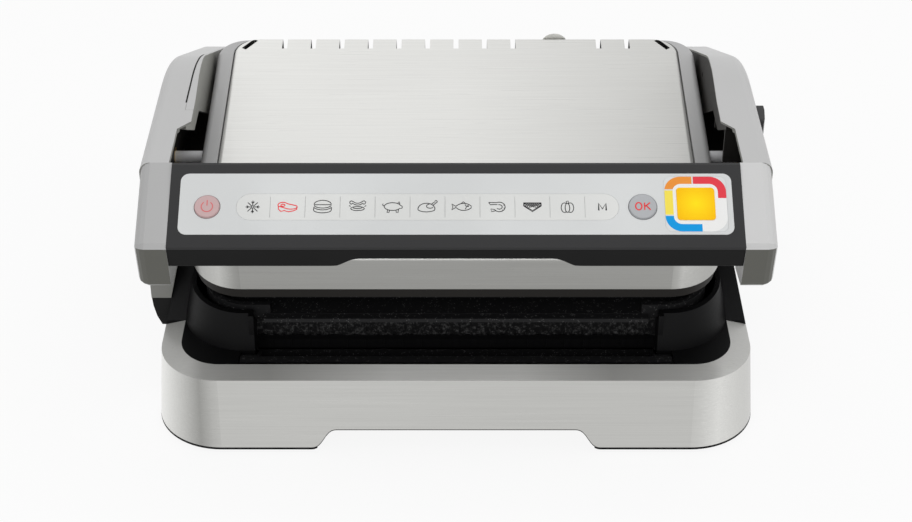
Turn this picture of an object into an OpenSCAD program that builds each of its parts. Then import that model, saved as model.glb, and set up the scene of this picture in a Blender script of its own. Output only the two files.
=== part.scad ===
// Electric contact grill with a floating upper plate. The lid opens flat.
// Heights are above the table. Lengths back are measured from the front of the base, and
// everything is then shifted so that the origin lies on the table, at the middle of the grill.

/* [Overall] */
// Width over the foot of the base
base_w = 375; // [312:1:450]
// Depth of the base, front to back
base_d = 325; // [271:1:390]
// Slope of both plates, front edge low, so that fat runs forward
tilt = 7; // [6:0.5:8]

/* [Base] */
// Height of the flat rim round the plate well
rim_h = 55.6; // [52:0.1:59]
// How far each wall leans in from foot to crease
flare = 4.5; // [3.5:0.5:5.5]
// Width of the bevel above the crease
bevel_w = 12.5; // [10.5:0.5:14]
// Height of the bevel
bevel_h = 3; // [2.5:0.1:3.6]
// Plan radius of the base's corners
base_r = 38; // [32:1:44]
// Thickness of the moulded walls
wall = 3; // [2.5:0.1:3.4]
// Thickness of the steel skirt
skirt_t = 1; // [0.8:0.1:1.2]
// How far the steel skirt runs back along each side
skirt_run = 63; // [52:1:70]
// Width of the finger cut-out at the front, along its top
cutout_w = 147; // [123:1:176]
// Height of the finger cut-out above the table
cutout_h = 17.3; // [15:0.1:20]
// Height of the feet
foot_h = 2.5; // [2:0.1:3]
// Radius of a foot
foot_r = 9; // [7.5:0.5:11]

/* [Plate well and drip tray] */
// How far the well's wall stands back from the front
well_front = 31; // [29:0.5:33]
// Plan radius of the well's corners
well_r = 40; // [34:1:46]
// Width of the gap in the well's front wall
mouth_w = 248; // [206:1:262]
// Width of the tray's lip
tray_w = 265; // [253:1:280]
// Depth of the tray under the rim
tray_drop = 16; // [13:0.5:18]

/* [Plates] */
// Gap left between the closed plates
plate_gap = 6.2; // [5.5:0.1:9]
// Height of a plate's rim
plate_h = 10; // [8:0.5:11]
// Distance between ridges
ridge_pitch = 11.6; // [9.7:0.1:13.9]
// Height of the ridges
ridge_h = 3.6; // [2:0.1:4]

/* [Lid] */
// How far the lid's front stands back from the front of the base
head_front = 29; // [28:0.5:32]
// Height of the lid's top at its front edge
head_z = 125.4; // [121:0.1:130]
// Height of the steel band round the lid
cover_h = 24.5; // [22:0.5:26]
// Thickness of the lid's steel sheet
sheet_t = 1.2; // [0.8:0.1:1.5]
// Plan radius of the lid's front corners
head_rf = 32; // [26:1:38]
// Plan radius of the lid's rear corners
head_rr = 20; // [17:1:24]
// Width of the grey rim along each side
side_rim_w = 11; // [9:0.5:12]
// Distance between the slots at the lid's rear edge
slot_pitch = 19.5; // [16:0.5:22]
// Width of a slot
slot_w = 3.5; // [2.5:0.1:4.5]
// Length of a slot
slot_l = 13; // [10:0.5:16]

/* [Arms and hinge] */
// Thickness of an arm
arm_t = 22; // [20:0.5:24]
// Space between an arm and the lid
arm_gap = 2; // [1.5:0.1:2.5]
// Height of the arms' top
arm_top = 183.5; // [178:0.5:190]
// Radius of the arms' crown, where the top turns down
crown_r = 130; // [110:1:140]
// Radius of the arm's outer top edge
arm_edge_r = 7; // [6:0.5:8.5]
// Radius of the round end at the hinge
hub_r = 22; // [20:0.5:24]
// Diameter of a hinge pin
pin_d = 10; // [8:0.5:12]
// Diameter of the stub axle that the lid floats on
rod_d = 8; // [6.5:0.5:9.5]
// Running clearance of the bushes, on the radius
run_gap = 0.05; // [0.03:0.01:0.08]

/* [Handle and panel] */
// How far the handle stands out in front of the base
handle_over = 5; // [4:0.5:6]
// Height of the handle's front edge
handle_z = 155.8; // [152:0.1:160]
// Slope of the control panel
panel_slope = 30; // [27:1:33]
// Length of the sloping face
face_l = 54; // [50:1:58]
// Height of the light panel along the slope
panel_l = 39.8; // [37:0.1:43]
// Diameter of the power button
power_d = 14.7; // [12.5:0.1:17.5]
// Diameter of the confirm button
ok_d = 16.2; // [13.5:0.1:18]
// Travel of the panel's buttons
press = 1; // [0.8:0.1:1.2]
// Length of the key strip
strip_l = 221; // [185:1:224]
// Width of the key strip
strip_w = 17; // [14:0.5:20]
// Keys on the strip
keys = 11; // [9:1:13]
// Side of the doneness ring
ring_w = 36; // [30:0.5:37]
// Side of the lit window
lens_w = 22; // [18:0.5:25]

/* [Hidden] */
$fn = 64;

steel = [0.80, 0.79, 0.77];
light_grey = [0.80, 0.79, 0.78];
panel_grey = [0.86, 0.87, 0.87];
charcoal = [0.22, 0.22, 0.22];
black = [0.10, 0.10, 0.10];
chrome = [0.88, 0.88, 0.90];
brass = [0.80, 0.68, 0.36];
board_green = [0.12, 0.34, 0.22];

far = 900;                                  // longer than any part
seat = 0.2;                                 // clearance between fixed parts
left = 1;                                   // mirror flag of the left-hand parts
right = 0;

// Base
crease_z = rim_h - bevel_h;
crease_w = base_w - 2 * flare;
crease_d = base_d - 2 * flare;
tub_edge = 1.5;                             // black edge that shows under the steel
skirt_z = foot_h + tub_edge;
deck_t = 3;
function flare_at(z) = flare * (crease_z - z) / (crease_z - foot_h);

// Hinge and lid, in side view: y runs back and z up
arm_inset = 1.5;                            // arms stand this far inside the base's sides
hinge_y = base_d - 25;
tower_r = 38;
head_back = hinge_y - 41;
head_w = base_w - 2 * (arm_t + arm_gap + arm_inset);
head_d = (head_back - head_front) / cos(tilt);
steel_w = head_w - 2 * side_rim_w;
function sloped(y, drop) = head_z + (y - head_front) * tan(tilt) - drop / cos(tilt);
function side_y(along, drop) = head_front + along * cos(tilt) + drop * sin(tilt);
function side_z(along, drop) = head_z + along * sin(tilt) - drop * cos(tilt);

upper_rim = cover_h + 12;                   // drops below the lid's top, square to it
lower_rim = upper_rim + plate_gap;
well_top = lower_rim + 3;
hinge_z = sloped(head_back, well_top) - 7;

// Plate well
well_back = hinge_y - tower_r;
well_d = well_back - well_front;
well_w = crease_w - 2 * bevel_w + 1;
wall_lean = 0.21;
side_lean = 0.24;
rail_back = well_back - 20;
tray_y = 24;                                // front edge of the tray's opening
tray_back = 47;
lip_front = flare + bevel_w + 2;
lip_t = 1.8;

// Plates
plate_w = head_w - 12;
plate_front = 6;
plate_d = head_d - 24;
plate_r = 28;
floor_t = 3;
ridges = 2 * floor((plate_w / 2 - 12) / ridge_pitch) + 1;

// Stub axles
rod_along = head_d / 2 - 7;
rod_drop = 8.2;
rod_y = side_y(rod_along, rod_drop);
rod_z = side_z(rod_along, rod_drop);
rod_in = steel_w / 2 - 24;

// Arms
arm_in = head_w / 2 + arm_gap;
arm_out = base_w / 2 - arm_inset;
cap_in = arm_in + 2;
skin = 3;
thin_edge = 1.3;                            // thickness of the skin's inner edge
crown_y = hinge_y - 155;
crown_c = [crown_y, arm_top - crown_r];
hub_c = [hinge_y, hinge_z];
arm_front = [44, arm_top - 0.6];
between = hub_c - crown_c;
fall_a = atan2(between[1], between[0]) + acos((crown_r - hub_r) / norm(between));
function on_arc(c, r, a) = c + r * [cos(a), sin(a)];
to_front = arm_front - crown_c;
start_a = atan2(to_front[1], to_front[0]) - acos(crown_r / norm(to_front));
under_z = sloped(rail_back, well_top) + 6;
web_in = arm_out - 2 * skin - 0.3;
web_out = arm_out - skin - 0.3;
boss_r = hub_r - 4.5;
boss_out = arm_out - arm_edge_r + skin;
lip_y = 92;                                 // where the arm's inner lip starts

// Handle
face_y = -handle_over;
bar_w = 2 * cap_in;
panel_w = bar_w - 12;
panel_mid = 28.2;
row_mid = 26.2;
panel_t = 2.2;
inlay_t = 0.8;
power_x = -panel_w / 2 + 16.2;
ring_x = panel_w / 2 - 21.3;
ok_x = ring_x - ring_w / 2 - 12.8;
strip_x = (power_x + ok_x) / 2 + 1.5;
grip_recess = [53, 76, 6.6];                // half widths of the lip's recess, and its height

// Release button, on the right arm
release_y = 120.5;
release_z = 167.3;
release_l = 24;
release_h = 12;
release_out = 6;
release_press = 3;

// Side foot, on the left of the base
side_foot_y = 86;

// Heater
tube_r = 3.2;

module centred() translate([0, (handle_over - base_d) / 2, 0]) children();
module side(flag) mirror([flag, 0, 0]) children();
module tilted(drop = 0) translate([0, head_front, head_z]) rotate([tilt, 0, 0])
    translate([0, 0, -drop]) children();
module on_face() translate([0, face_y, handle_z]) rotate([panel_slope, 0, 0]) children();

// Rounded outline with its front edge on y = 0
module plan(w, d, rf, rr) {
    for (s = [-1, 1]) {
        translate([s * (w / 2 - rf), rf]) circle(rf);
        translate([s * (w / 2 - rr), d - rr]) circle(rr);
    }
    translate([rf - w / 2, 0]) square([w - 2 * rf, d / 2]);
    translate([-w / 2, rf]) square([w, d - rf - rr]);
    translate([rr - w / 2, d / 2]) square([w - 2 * rr, d / 2]);
}

// Carries a wall section round that outline; its x is the distance outwards
module ring(w, d, rf, rr) {
    for (s = [0, 1]) mirror([s, 0, 0]) {
        translate([w / 2 - rf, rf, 0]) rotate([0, 0, -90]) rotate_extrude(angle = 90)
            translate([rf, 0]) children();
        translate([w / 2, d - rr, 0]) rotate([90, 0, 0]) linear_extrude(d - rf - rr) children();
        translate([w / 2 - rr, d - rr, 0]) rotate_extrude(angle = 90)
            translate([rr, 0]) children();
    }
    translate([rf - w / 2, 0, 0]) rotate([90, 0, 90]) mirror([1, 0, 0])
        linear_extrude(w - 2 * rf) children();
    translate([rr - w / 2, d, 0]) rotate([90, 0, 90]) linear_extrude(w - 2 * rr) children();
}

// Side view (y, z) extruded across, from x0 to x1
module across(x0, x1) translate([x0, 0, 0]) rotate([90, 0, 90]) linear_extrude(x1 - x0) children();
module rod(r, x0, x1, at) translate([x0, at[0], at[1]]) rotate([0, 90, 0]) cylinder(h = x1 - x0, r = r);
module rounded(w, h, r) for (x = [-1, 1], y = [-1, 1]) {
    translate([x * (w / 2 - r), y * (h / 2 - r)]) circle(r);
    if (x > 0) square([w - (y > 0 ? 2 * r : 0), h - (y > 0 ? 0 : 2 * r)], center = true);
}
module front_part(run) translate([-far / 2, -far, -far / 2]) cube([far, far + run, far]);
module slot_shape(w, l) {
    square([w, l - w], center = true);
    for (y = [-1, 1]) translate([0, y * (l - w) / 2]) circle(w / 2);
}
function ogee(p, q, steps = 10) = [for (i = [0 : steps]) let (t = i / steps)
    [p[0] + (q[0] - p[0]) * t, p[1] + (q[1] - p[1]) * t * t / (t * t + (1 - t) * (1 - t))]];

// ---- Base ----
module base_ring() translate([0, flare, 0]) ring(crease_w, crease_d, base_r, base_r) children();

module skirt_space() intersection() {
    base_ring() polygon([[flare_at(skirt_z) - skirt_t - seat, skirt_z - seat],
        [-skirt_t - seat, crease_z - skirt_t], [-wall - 1, crease_z - skirt_t],
        [-wall - 1, crease_z + 1], [flare, crease_z + 1], [2 * flare, skirt_z - seat]]);
    front_part(skirt_run + seat);
}

cutout_run = 16;                            // width of the curve at each end
module finger_cutout(inset = tub_edge) {
    foot = [cutout_w / 2 + cutout_run, skirt_z - inset];
    edge = concat([[foot[0], -0.01]], ogee(foot, [cutout_w / 2, cutout_h - inset]));
    translate([0, 40, 0]) rotate([90, 0, 0]) linear_extrude(60)
        polygon(concat(edge, [for (i = [len(edge) - 1 : -1 : 0]) [-edge[i][0], edge[i][1]]]));
}

module base_tub() color(black) centred() difference() {
    base_ring() polygon([[flare, foot_h], [0, crease_z], [-wall, crease_z],
        [flare - wall, foot_h]]);
    skirt_space();
    finger_cutout();
    translate([gland_x, base_d + 1, gland_z]) rotate([90, 0, 0]) cylinder(h = 20, r = gland_r);
}

module base_skirt() color(steel) centred() difference() {
    intersection() {
        base_ring() polygon([[flare_at(skirt_z), skirt_z], [0, crease_z], [-bevel_w, rim_h],
            [-bevel_w, rim_h - skirt_t], [-skirt_t, crease_z - skirt_t / 2],
            [flare_at(skirt_z) - skirt_t, skirt_z]]);
        front_part(skirt_run);
    }
    finger_cutout(0);
}

module well_cut() tilted(well_top) translate([-far / 2, -far / 2, 0]) cube([far, far, far]);

module side_rail() difference() {
    rise = 70;
    top_z = crease_z + rise;
    translate([0, rail_back, 0]) rotate([90, 0, 0]) linear_extrude(rail_back - skirt_run)
        polygon([[crease_w / 2, crease_z], [crease_w / 2 - side_lean * rise, top_z],
            [well_w / 2 - 2 - wall_lean * (top_z - rim_h), top_z],
            [well_w / 2 - 2, crease_z]]);
    across(0, far) polygon([[0, rim_h], [skirt_run, rim_h], [skirt_run + 0.9 * rise, rim_h + rise],
        [skirt_run + 0.9 * rise, far], [0, far]]);
    across(0, far) polygon([[rail_back - 14, top_z], [rail_back + 1, rim_h], [far, rim_h],
        [far, top_z + 1], [rail_back - 14, top_z + 1]]);
}

module apron() {
    foot = [tray_back, rim_h - 9.6];
    top = [tray_back + 4, rim_h + 12];
    across(-mouth_w / 2, mouth_w / 2) polygon([foot, top, top + [2.5, 0], foot + [2.5, 0]]);
    n = floor(mouth_w / 2 / ridge_pitch - 0.5);
    for (i = [-n : n]) across(i * ridge_pitch - 1.6, i * ridge_pitch + 1.6)
        polygon([foot + [-0.9, 0.8], top + [-0.9, -0.8], top + [1, -0.8], foot + [1, 0.8]]);
}

module base_top() color(black) centred() {
    difference() {
        union() {
            // Flat rim, and the black bevel behind the steel
            translate([0, flare + bevel_w, rim_h - deck_t]) linear_extrude(deck_t)
                plan(crease_w - 2 * bevel_w, crease_d - 2 * bevel_w, base_r - bevel_w,
                    base_r - bevel_w);
            difference() {
                base_ring() polygon([[0, crease_z], [-bevel_w, rim_h], [-bevel_w - 1, rim_h],
                    [-bevel_w - 1, rim_h - deck_t], [-wall, crease_z]]);
                front_part(skirt_run + seat);
            }
        }
        // Rebate and opening for the tray
        across(-tray_w / 2 - 0.7, tray_w / 2 + 0.7) polygon([[lip_front - 0.9, rim_h + 1],
            [lip_front - 0.9, rim_h], [lip_front + lip_t - 0.7, rim_h - lip_t - 0.4],
            [tray_y + 1, rim_h - lip_t - 0.4], [tray_y + 1, rim_h + 1]]);
        across(-tray_w / 2 - 0.7, tray_w / 2 + 0.7)
            translate([tray_y, 0]) square([well_front - tray_y, far]);
        across(-mouth_w / 2, mouth_w / 2) translate([tray_y, 0]) square([tray_back - tray_y, far]);
    }
    difference() {
        union() {
            translate([0, well_front, 0]) ring(well_w, well_d, well_r, well_r)
                polygon([[0, rim_h - deck_t], [0, rim_h], [-wall_lean * 70, rim_h + 70],
                    [-wall_lean * 70 - wall, rim_h + 70], [-wall, rim_h],
                    [-wall, rim_h - deck_t]]);
            side(right) side_rail();
            side(left) side_rail();
            // Cheeks of the mouth, clear of the plate
            difference() {
                for (s = [0, 1]) side(s) across(mouth_w / 2, mouth_w / 2 + wall)
                    polygon([[well_front + 2, rim_h - deck_t], [well_front + 2.5, rim_h + 40],
                        [tray_back + 8, rim_h + 40], [tray_back + 8, rim_h - 12],
                        [tray_back, rim_h - 12], [well_front + 6, rim_h - deck_t]]);
                tilted(lower_rim + plate_h + 1) translate([-far / 2, plate_front - 2, 0])
                    cube([far, far, far]);
            }
        }
        well_cut();
        across(-mouth_w / 2, mouth_w / 2) translate([well_front - 5, 0]) square([20, far]);
        // Notches for the plate's clips
        for (x = clip_x) tilted(lower_rim) translate([x - 8, plate_front + plate_d, -plate_h / 2 - 2])
            cube([16, 6, 20]);
    }
    apron();
    // Posts under the reflector, and longer ones under the plate
    for (x = [-1, 1], y = [0.27, 0.68]) difference() {
        union() {
            translate([x * (plate_w / 2 - 50), base_d * y, rim_h - 1]) cylinder(h = 60, r = 4);
            difference() {
                translate([x * (plate_w / 2 - 8), base_d * y, rim_h - 1]) cylinder(h = 60, r = 5);
                tilted(lower_rim + plate_h) translate([-far / 2, 0, 0]) cube([far, far, far]);
            }
        }
        tilted(lower_rim + plate_h + reflector_gap) translate([25 - plate_w / 2, 0, 0])
            cube([plate_w - 50, far, far]);
    }
}

module bottom_cover() color(black) centred() difference() {
    union() {
        translate([0, flare + 1, foot_h]) linear_extrude(2.5)
            plan(crease_w - 2, crease_d - 2, base_r - 1, base_r - 1);
        for (x = foot_x, y = foot_y) translate([x, y, foot_h]) cylinder(h = 8, r = 5);
        // Pocket behind the finger cut-out
        across(-cutout_w / 2 - cutout_run - wall, cutout_w / 2 + cutout_run + wall)
            translate([flare + 0.5, foot_h]) square([37, cutout_h]);
    }
    finger_cutout();
    // Vents
    for (x = [-5 : 5], y = [0.38, 0.62]) translate([x * 18, base_d * y, 0])
        linear_extrude(20) slot_shape(6, 30);
}

foot_x = [-crease_w / 2 + 32, crease_w / 2 - 32];
foot_y = [34, base_d - 34];
gland_x = -90;
gland_z = 28;
gland_r = 8;

module feet() color(black) centred() for (x = foot_x, y = foot_y) translate([x, y, 0]) difference() {
    union() {
        cylinder(h = foot_h, r = foot_r);
        translate([0, 0, 1]) cylinder(h = foot_h - 1, r = foot_r - 1);
    }
    translate([0, 0, -1]) cylinder(h = foot_h + 0.2, r = 4);
}

module bottom_screws() color(steel) centred() for (x = foot_x, y = foot_y)
    translate([x, y, 0.5]) difference() {
        cylinder(h = 1, r = 3.6);
        translate([0, 0, -1]) cylinder(h = 1.5, r = 1.8, $fn = 6);
    }

// ---- Cooking plates: local z = 0 is the rim, and the food side faces up ----
module grill_plate() {
    translate([0, plate_front, -plate_h]) difference() {
        linear_extrude(plate_h) plan(plate_w, plate_d, plate_r, plate_r);
        translate([0, 3, floor_t]) linear_extrude(plate_h)
            plan(plate_w - 6, plate_d - 6, plate_r - 3, plate_r - 3);
    }
    reach = plate_w / 2 - plate_r;
    for (i = [-(ridges - 1) / 2 : (ridges - 1) / 2]) {
        inset = abs(i * ridge_pitch) > reach ? plate_r : 12;
        translate([i * ridge_pitch, plate_front + plate_d - inset, floor_t - plate_h])
            rotate([90, 0, 0]) linear_extrude(plate_d - inset - 16)
                polygon([[-2.6, -0.5], [2.6, -0.5], [1.3, ridge_h], [-1.3, ridge_h]]);
    }
}

module lower_plate() color(charcoal) centred() tilted(lower_rim) difference() {
    union() {
        grill_plate();
        // Pouring lip over the tray
        across(-mouth_w / 2 + 6, mouth_w / 2 - 6) polygon([[plate_front - 5, -plate_h],
            [plate_front - 4, -plate_h + 2], [plate_front + 3, -plate_h + floor_t],
            [plate_front + 3, -plate_h]]);
    }
    across(-mouth_w / 2 + 10, mouth_w / 2 - 10) polygon([[plate_front - 6, floor_t - plate_h],
        [plate_front + 5, floor_t - plate_h], [plate_front + 5, 1], [plate_front - 6, 1]]);
}

module upper_plate() color(charcoal) centred() tilted(upper_rim) mirror([0, 0, 1]) grill_plate();

clip_x = [-0.24 * base_w, 0.24 * base_w];
module plate_clips(height) for (x = clip_x) translate([x, 0, height])
    difference() {
        translate([-7, 0.1, -1.5]) cube([14, 5, 3]);
        translate([0, -1, 0.5]) rotate([-90, 0, 0]) cylinder(h = 3, r = 1);
    }

module lower_plate_clips() color(steel) centred() tilted(lower_rim)
    translate([0, plate_front + plate_d, 0]) plate_clips(-plate_h / 2);
module upper_plate_clips() color(steel) centred() tilted(upper_rim)
    translate([0, plate_front + plate_d, 0]) plate_clips(plate_h / 2);

tail_x = 36;
// Tube bent into one flat loop with its tails at the back
module tube() circle(tube_r, $fn = 12);
module heater_loop(w, d) {
    bend = 26;
    for (s = [0, 1]) mirror([s, 0, 0]) {
        translate([w / 2 - bend, bend, 0]) rotate([0, 0, -90]) rotate_extrude(angle = 90)
            translate([bend, 0]) tube();
        translate([w / 2, bend, 0]) rotate([-90, 0, 0]) linear_extrude(d - 2 * bend) tube();
        translate([w / 2 - bend, d - bend, 0]) rotate_extrude(angle = 90)
            translate([bend, 0]) tube();
        translate([tail_x + 5, d, 0]) rotate([0, 90, 0])
            linear_extrude(w / 2 - bend - tail_x - 5) rotate(90) tube();
        translate([tail_x + 5, d, -5]) rotate([90, 0, 0]) rotate([0, 0, 90])
            rotate_extrude(angle = 90) translate([5, 0]) tube();
        translate([tail_x, d, -6.8]) linear_extrude(1.8) tube();
    }
    translate([bend - w / 2, 0, 0]) rotate([0, 90, 0]) linear_extrude(w - 2 * bend) rotate(90) tube();
}

heater_w = plate_w - 90;
heater_d = plate_d - 80;
module lower_heater() color(steel) centred() tilted(lower_rim + plate_h + tube_r)
    translate([0, plate_front + 40, 0]) heater_loop(heater_w, heater_d);
module upper_heater() color(steel) centred() tilted(upper_rim - plate_h - tube_r)
    translate([0, plate_front + 40, 0]) mirror([0, 0, 1]) heater_loop(heater_w, heater_d);

module reflector(depth) difference() {
    linear_extrude(depth) plan(plate_w - 60, plate_d - 50, 20, 20);
    translate([0, 1, 1]) linear_extrude(depth) plan(plate_w - 62, plate_d - 52, 19, 19);
    for (x = [-tail_x, tail_x]) translate([x, heater_d + 15, -1]) cylinder(h = 4, r = 5);
}
reflector_gap = 10;
module lower_reflector() color(steel) centred()
    tilted(lower_rim + plate_h + reflector_gap) translate([0, plate_front + 25, 0])
        reflector(reflector_gap);
module upper_reflector() color(steel) centred()
    tilted(upper_rim - plate_h - reflector_gap) translate([0, plate_front + 25, 0])
        mirror([0, 0, 1]) reflector(reflector_gap);

module probe() {
    cylinder(h = 6, r = 4);
    translate([0, 0, -2]) cylinder(h = 2, r = 7);
}
module lower_probe() color(steel) centred() tilted(lower_rim + plate_h + 6.1)
    translate([0, plate_front + plate_d / 2, 0]) probe();
module upper_probe() color(steel) centred() tilted(upper_rim - plate_h - 6.1)
    translate([0, plate_front + plate_d / 2, 0]) mirror([0, 0, 1]) probe();

// ---- Inside and behind the base ----
module power_board() color(board_green) centred() translate([40, base_d - 100, foot_h + 2.5]) {
    for (x = [6, 94], y = [6, 44]) translate([x, y, 0]) cylinder(h = 6, r = 3);
    translate([0, 0, 6]) cube([100, 50, 1.6]);
    translate([12, 12, 7.6]) cube([22, 18, 14]);
    translate([46, 14, 7.6]) cube([16, 24, 12]);
    translate([80, 25, 7.6]) cylinder(h = 16, r = 7);
}

module cord_gland() color(black) centred() translate([gland_x, base_d, gland_z])
    rotate([90, 0, 0]) difference() {
        union() {
            cylinder(h = gland_l, r = gland_r - seat);
            cylinder(h = 1.2, r = gland_r + 1.5);
            translate([0, 0, 8.5]) cylinder(h = 3, r = gland_r + 3);
        }
        translate([0, 0, -1]) cylinder(h = 30, r = 3.8);
    }
gland_l = 16;

bracket_w = 26;
bracket_x = head_w / 2 - 1 - bracket_w;
module hinge_bracket(flag) color(black) centred() side(flag) difference() {
    across(bracket_x, bracket_x + bracket_w) difference() {
        union() {
            translate(hub_c) circle(hub_r - 3);
            polygon([[hinge_y - 34, rim_h], hub_c + [5 - hub_r, 3], hub_c + [hub_r - 5, 3],
                [hinge_y + 10, rim_h]]);
        }
        translate(hub_c) circle(pin_d / 2 + 0.05);
    }
    // Hollow behind the web
    across(bracket_x + 4, bracket_x + bracket_w - 5) polygon([[hinge_y - 26, rim_h - 1],
        hub_c + [-12, -12], hub_c + [10, -14], [hinge_y + 4, rim_h - 1]]);
}
module hinge_bracket_left() hinge_bracket(left);
module hinge_bracket_right() hinge_bracket(right);

module hinge_pin(flag) color(chrome) centred() side(flag) {
    rod(pin_d / 2, bracket_x - 2, web_out - 1, hub_c);
    rod(pin_d / 2 + 2, bracket_x - 4, bracket_x, hub_c);
}
module hinge_pin_left() hinge_pin(left);
module hinge_pin_right() hinge_pin(right);

module bracket_screws() color(steel) centred() for (x = [-1, 1], y = [-28, 4])
    translate([x * (bracket_x + bracket_w / 2), hinge_y + y, rim_h - deck_t - 2.05])
        difference() {
            cylinder(h = 2, r = 3.5);
            translate([0, 0, -1]) cylinder(h = 2, r = 1.6, $fn = 6);
        }

module side_foot_bracket() color(light_grey) centred() side(left) {
    translate([0, side_foot_y + 15, 0]) rotate([90, 0, 0]) linear_extrude(30)
        polygon([rail_side(14.7), [side_foot_x, crease_z + 14.7], [side_foot_x, crease_z + 24],
            [side_foot_x - 2.5, crease_z + 30], [side_foot_x - 12.5, crease_z + 36.5],
            rail_side(36.5)]);
}
module side_foot_pad() color(black) centred() side(left) {
    translate([0, side_foot_y + 14, 0]) rotate([90, 0, 0]) linear_extrude(28)
        polygon([rail_side(14.5), rail_side(0), [crease_w / 2 + flare_at(crease_z - 6.5) + seat,
            crease_z - 6.5], [side_foot_x - 5, crease_z - 6.5], [side_foot_x - 2.2, crease_z],
            [side_foot_x - 0.5, crease_z + 8], [side_foot_x, crease_z + 14.5]]);
}
// Foot of the side rail, seen from the front, with a clearance
function rail_side(rise) = [crease_w / 2 + seat - side_lean * rise, crease_z + rise];
side_foot_x = arm_out + release_out;

// ---- Drip tray ----
tray_end = tray_back - 1.2;
tray_floor = rim_h - tray_drop;
tray_t = 1.6;
tray_edge = [tray_y + 0.6, rim_h - lip_t];
tray_toe = tray_edge[0] + tray_edge[1] - tray_floor;
tray_rear_z = rim_h - 9.8;
module tray_section(half_w) across(-half_w, half_w) polygon([[lip_front, rim_h - 0.1],
    [lip_front + lip_t - 0.1, rim_h - lip_t], tray_edge, [tray_toe, tray_floor],
    [tray_end, tray_floor], [tray_end, tray_rear_z], [tray_y + 1.2, rim_h - 0.1]]);
module drip_tray() color(charcoal) centred() difference() {
    union() {
        tray_section(mouth_w / 2 - 1);
        intersection() {
            tray_section(tray_w / 2);
            front_part(well_front - 0.4);
        }
    }
    across(-mouth_w / 2 + 1 + tray_t, mouth_w / 2 - 1 - tray_t) polygon([
        [tray_edge[0] + 0.7, rim_h + 1], [tray_edge[0] + 0.7, rim_h - lip_t + 1.5],
        [tray_toe + 0.7, tray_floor + tray_t], [tray_end - tray_t, tray_floor + tray_t],
        [tray_end - tray_t, rim_h + 1]]);
}

// ---- Arms ----
// Sections of the swept edge: x is the distance out from the arm's outline, y is across
module arm_section() {
    edge = arm_out - arm_edge_r;
    translate([-skin, arm_in + skin]) square([skin, edge - arm_in - skin]);
    translate([-thin_edge, arm_in - 3.6]) square([thin_edge, skin + 3.7]);
    translate([-arm_edge_r, edge]) intersection() {
        difference() {
            circle(arm_edge_r);
            circle(arm_edge_r - skin);
        }
        square(arm_edge_r);
    }
    translate([-arm_edge_r - 6, arm_out - skin]) square([6, skin]);
}
module swept_arc(c, r, a0, a1) translate([0, c[0], c[1]]) rotate([0, 90, 0])
    rotate([0, 0, 90 + a0]) rotate_extrude(angle = a1 - a0) translate([r, 0]) children();
// Straight run on from the arc's end at angle a, in the arc's own frame
module swept_line(c, r, a, from, to) translate([0, c[0], c[1]]) rotate([0, 90, 0])
    rotate([0, 0, 90 + a]) translate([r, to, 0]) rotate([90, 0, 0]) linear_extrude(to - from)
        children();

// Side view of the arm, pulled in from its top edge
module arm_side(inset, low) {
    crown = [for (a = [start_a : -4 : fall_a]) on_arc(crown_c, crown_r - inset, a)];
    polygon(concat([arm_front - [0, inset]], crown,
        [on_arc(crown_c, crown_r - inset, fall_a), on_arc(hub_c, hub_r - inset - 0.02, fall_a),
            hub_c, hub_c + [-17, -8 + low], [hinge_y - 34, under_z - 6 + low],
            [hinge_y - 62, under_z + low], [112, under_z + low], [62, under_z + 10 + low],
            [arm_front[0], arm_front[1] - 42 + low]]));
    translate(hub_c) circle(hub_r - inset);
}

// Plan view of the inner edge of the arm's top
module inner_edge_cut() linear_extrude(far) polygon([[0, 0], [cap_in + 2, 0],
    [cap_in + 2, lip_y - 9], [arm_in - 3.5, lip_y], [arm_in - 3.2, lip_y + 24],
    [arm_in - 1, lip_y + 79], [arm_in, lip_y + 99], [arm_in, far], [0, far]]);

// Inner wall of an arm: a lip in front, full depth behind
module arm_wall(inset) across(arm_in, arm_in + skin) difference() {
    arm_side(inset, 0);
    polygon([[0, 0], [0, far], [lip_y, far], [lip_y, arm_top - 6], [lip_y + 32, arm_top - 25],
        [crown_y + 4, arm_top - 25], [crown_y + 44, arm_top - 50],
        [hinge_y - 40, arm_top - 60], [hinge_y - 30, 0]]);
}

// Outer skin of an arm, before it is split
module arm_skin(walled) difference() {
    union() {
        swept_line(crown_c, crown_r, start_a, 0,
            sqrt(pow(norm(to_front), 2) - pow(crown_r, 2))) arm_section();
        swept_arc(crown_c, crown_r, fall_a, start_a) arm_section();
        // Straight fall, from the end of the crown to the round end at the hinge
        swept_line(crown_c, crown_r, fall_a,
            -sqrt(pow(norm(between), 2) - pow(crown_r - hub_r, 2)), 0) arm_section();
        swept_arc(hub_c, hub_r, -150, fall_a) arm_section();
        across(arm_out - skin, arm_out) arm_side(arm_edge_r + 2, 0);
        if (walled) arm_wall(1);
    }
    inner_edge_cut();
    // Hole for the hub's boss
    rod(boss_r + 0.3, arm_in - 5, boss_out + 0.3, hub_c);
}

seam_in = 1.6;                              // thickness of the left arm's clip-on cover
module cover_zone(grow) {
    across(arm_in - 6, arm_in + seam_in + grow) polygon([[lip_y + 14 - grow, arm_top - 21],
        [lip_y + 14 - grow, far], [far, far], [far, arm_top - 21 - far], [lip_y + 80, arm_top - 62]]);
}

module release_hole(grow) translate([arm_out - 2 * skin - 6, release_y, release_z])
    rotate([90, 0, 90]) linear_extrude(2 * skin + 20) rounded(release_l + grow, release_h + grow, 5);

module arm_shell_left() color(light_grey) centred() side(left) difference() {
    arm_skin(true);
    cover_zone(0.15);
}
module arm_cover_left() color(light_grey) centred() side(left) intersection() {
    arm_skin(true);
    cover_zone(0);
}
module arm_shell_right() color(light_grey) centred() side(right) difference() {
    arm_skin(false);
    release_hole(0.8);
}

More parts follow.
